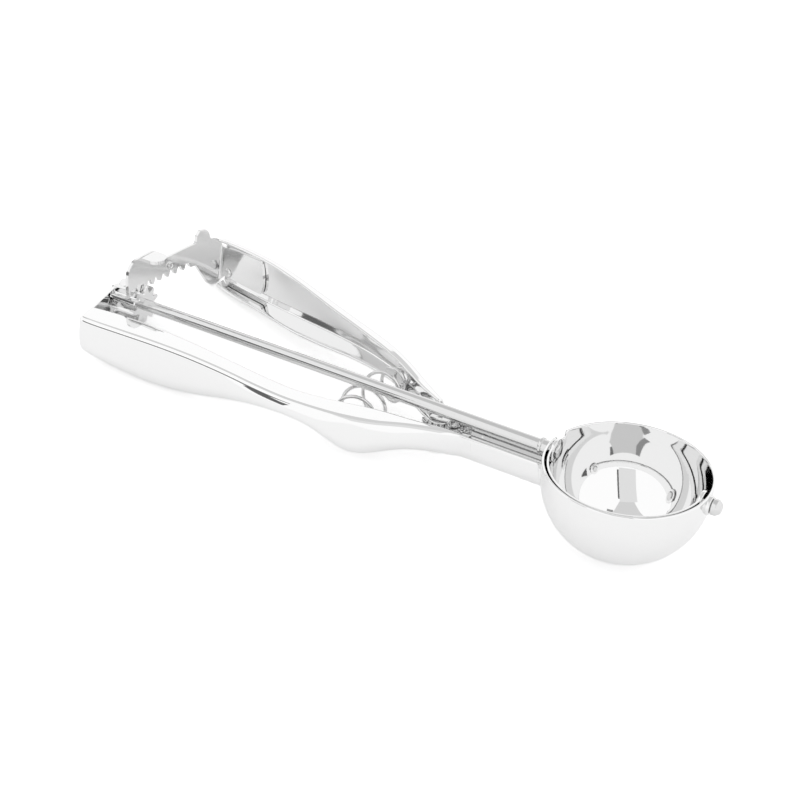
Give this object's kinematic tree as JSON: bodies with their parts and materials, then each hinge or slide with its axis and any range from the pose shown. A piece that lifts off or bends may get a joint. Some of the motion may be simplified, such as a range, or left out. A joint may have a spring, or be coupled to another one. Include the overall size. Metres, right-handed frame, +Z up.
{
  "type": "ice cream scoop",
  "caption": "Ice cream scoop in polished steel: squeezing its sprung handles turns a thin wiper round the inside of a hemispherical bowl through a toothed rack and a pinion.",
  "frame": {"origin": "on the table, straight under the centre of the bowl, where the bowl touches it", "axes": "+Z up, +X towards the front of the bowl and away from the handles, -Y towards the side of the fixed handle; the rod climbs by 5 degrees towards the handles' end"},
  "size_m": [0.2223, 0.0676, 0.0334],
  "materials": {
    "polished_steel": "polished",
    "satin_steel": "satin",
    "spring_steel": "satin"
  },
  "bodies": {
    "frame": {"bowl": "polished_steel", "fixed_handle": "polished_steel", "rod_bushing": "polished_steel", "front_rivet": "polished_steel", "front_collar": "satin_steel", "pivot_post": "satin_steel", "pivot_washer": "satin_steel", "pinion_washer": "satin_steel", "return_spring": "spring_steel"},
    "lever": {"lever_handle": "polished_steel", "rack": "satin_steel", "rack_rivet": "satin_steel"},
    "drive": {"drive_rod": "polished_steel", "pinion": "satin_steel", "wiper_blade": "polished_steel"}
  },
  "joints": [
    {"name": "lever_squeeze", "type": "hinge", "parent": "frame", "child": "lever", "pos_m": [-0.06181, -0.00077, 0.0145], "axis": [-0.0881, 0.1536, 0.9842], "range_deg": [0, 8.5], "stiffness_Nm_per_rad": 3, "springref_deg": -17.19, "deforming": ["return_spring"]},
    {"name": "drive_turn", "type": "hinge", "parent": "frame", "child": "drive", "pos_m": [-0.09969, 0.00015, 0.01706], "axis": [0.996, 0, 0.0892], "range_deg": [0, 176]}
  ],
  "couplings": [
    {"joint": "drive_turn", "follows": "lever_squeeze", "ratio": 20.661}
  ]
}
